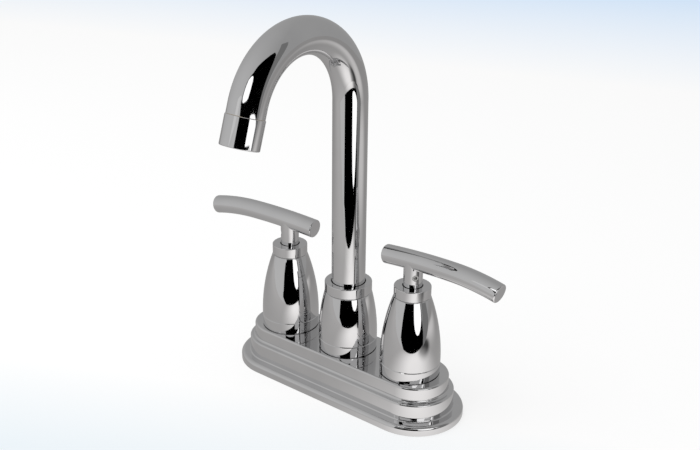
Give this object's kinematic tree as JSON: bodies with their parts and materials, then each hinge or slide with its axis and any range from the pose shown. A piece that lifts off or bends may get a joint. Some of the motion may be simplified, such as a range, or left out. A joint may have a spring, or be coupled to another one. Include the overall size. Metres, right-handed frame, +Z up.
{
  "type": "basin mixer tap",
  "caption": "Deck-mounted centreset basin mixer tap: stepped oblong plate, barrel-shaped domes, lever handles with quarter-turn ceramic cartridges and a swivelling gooseneck spout.",
  "frame": {"origin": "on the spout's axis, in the deck plane that the plate's rim and gasket stand on", "axes": "+Z up out of the deck along the spout's column; the spout reaches towards the user along -Y; hot handle at -X, cold handle at +X"},
  "size_m": [0.2287, 0.1384, 0.3096],
  "materials": {
    "polished_chrome": "mirror polished chrome plate over brass and zinc",
    "black_rubber": "matt moulded nitrile rubber",
    "cast_brass": "as cast, shot blasted",
    "turned_brass": "turned",
    "stainless_steel": "rolled and turned stainless steel",
    "black_nylon": "moulded nylon",
    "white_plastic": "moulded acetal",
    "white_ceramic": "lapped alumina ceramic"
  },
  "bodies": {
    "tap_body": {"deck_plate": "polished_chrome", "hot_base_ring": "polished_chrome", "hot_dome": "polished_chrome", "hot_collar": "polished_chrome", "spout_base_ring": "polished_chrome", "spout_dome": "polished_chrome", "spout_collar": "polished_chrome", "cold_base_ring": "polished_chrome", "cold_dome": "polished_chrome", "cold_collar": "polished_chrome", "base_gasket": "black_rubber", "hot_seat_seal": "black_rubber", "cold_seat_seal": "black_rubber", "waterway_body": "cast_brass", "hot_inlet_shank": "turned_brass", "cold_inlet_shank": "turned_brass", "hot_cartridge_housing": "turned_brass", "cold_cartridge_housing": "turned_brass", "spout_retaining_nut": "turned_brass", "lock_nuts": "turned_brass", "lock_washers": "stainless_steel", "hot_glide_ring": "black_nylon", "spout_glide_ring": "black_nylon", "cold_glide_ring": "black_nylon", "spout_thrust_washer": "white_plastic", "hot_fixed_disc": "white_ceramic", "cold_fixed_disc": "white_ceramic"},
    "hot_handle": {"hot_lever": "polished_chrome", "hot_set_screw": "stainless_steel", "hot_stem": "turned_brass", "hot_stem_clip": "stainless_steel", "hot_stem_rings": "black_rubber", "hot_moving_disc": "white_ceramic"},
    "cold_handle": {"cold_lever": "polished_chrome", "cold_set_screw": "stainless_steel", "cold_stem": "turned_brass", "cold_stem_clip": "stainless_steel", "cold_stem_rings": "black_rubber", "cold_moving_disc": "white_ceramic"},
    "spout": {"spout_tube": "polished_chrome", "spout_adaptor": "turned_brass", "spout_rings": "black_rubber", "outlet_ferrule": "turned_brass", "aerator_washer": "black_rubber", "aerator_insert": "white_plastic", "aerator_shell": "polished_chrome"}
  },
  "joints": [
    {"name": "hot_handle_turn", "type": "hinge", "parent": "tap_body", "child": "hot_handle", "pos_m": [-0.0508, 0, 0.0879], "axis": [0, 0, 1], "range_deg": [-4.8, 85.2]},
    {"name": "cold_handle_turn", "type": "hinge", "parent": "tap_body", "child": "cold_handle", "pos_m": [0.0508, 0, 0.0879], "axis": [0, 0, -1], "range_deg": [-1.5, 88.5]},
    {"name": "spout_swivel", "type": "hinge", "parent": "tap_body", "child": "spout", "pos_m": [0, 0, 0.0756], "axis": [0, 0, 1], "continuous": true}
  ]
}
